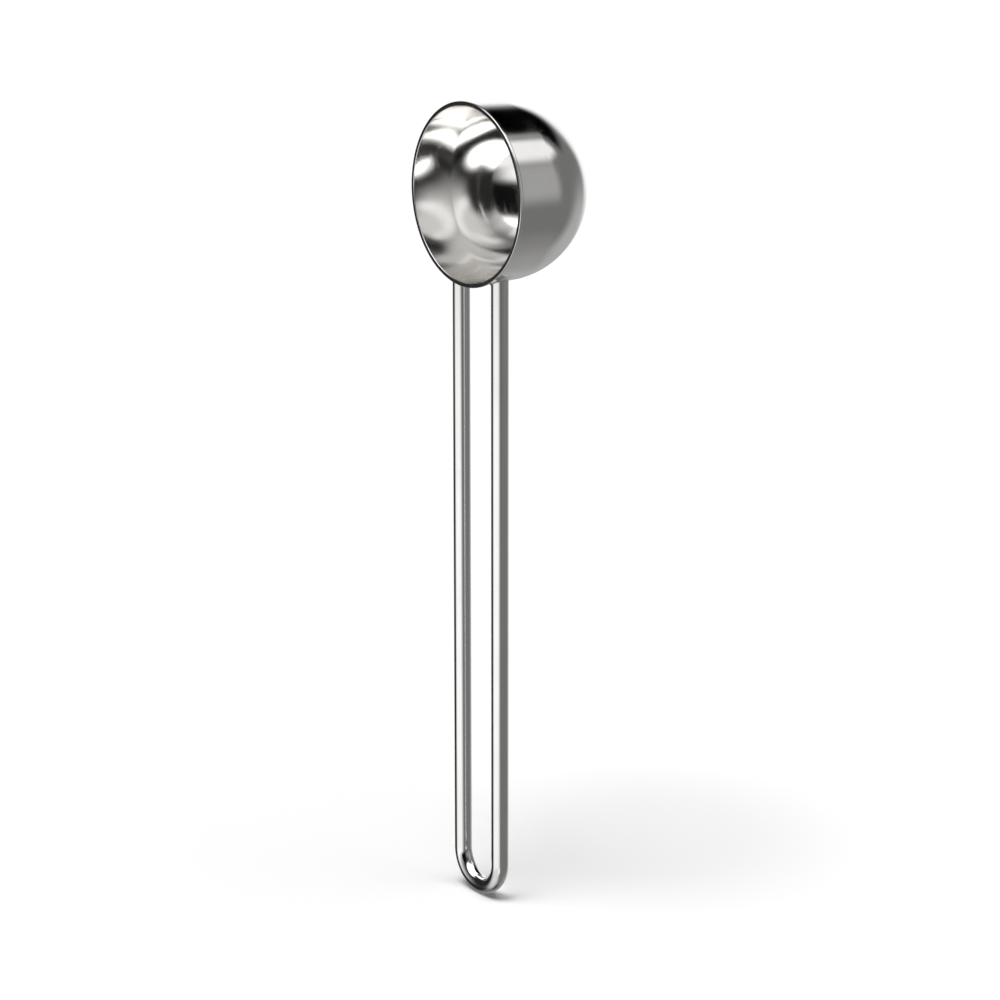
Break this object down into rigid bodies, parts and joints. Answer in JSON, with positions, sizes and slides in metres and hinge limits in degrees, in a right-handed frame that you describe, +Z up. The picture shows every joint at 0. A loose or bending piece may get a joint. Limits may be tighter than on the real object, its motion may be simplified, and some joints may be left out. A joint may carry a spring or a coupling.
{
  "type": "measuring spoon",
  "caption": "Long-handled measuring spoon: a deep round-bottomed steel bowl with its mouth to one side, on a hairpin handle of round steel wire.",
  "frame": {"origin": "on the ground, under the middle of the bowl's width and of its depth, with the spoon upright on the bend of its handle", "axes": "+Z runs up the handle from the bend to the bowl, -Y points out of the bowl's mouth, X runs across the handle's two legs"},
  "size_m": [0.0348, 0.0244, 0.158],
  "materials": {
    "bowl_steel": "mirror-polished stainless steel sheet",
    "wire_steel": "mirror-polished stainless steel wire",
    "weld_steel": "polished stainless steel weld, faintly uneven"
  },
  "bodies": {
    "root": {"bowl": "bowl_steel", "wire_handle": "wire_steel", "weld_left": "weld_steel", "weld_right": "weld_steel"}
  },
  "joints": []
}
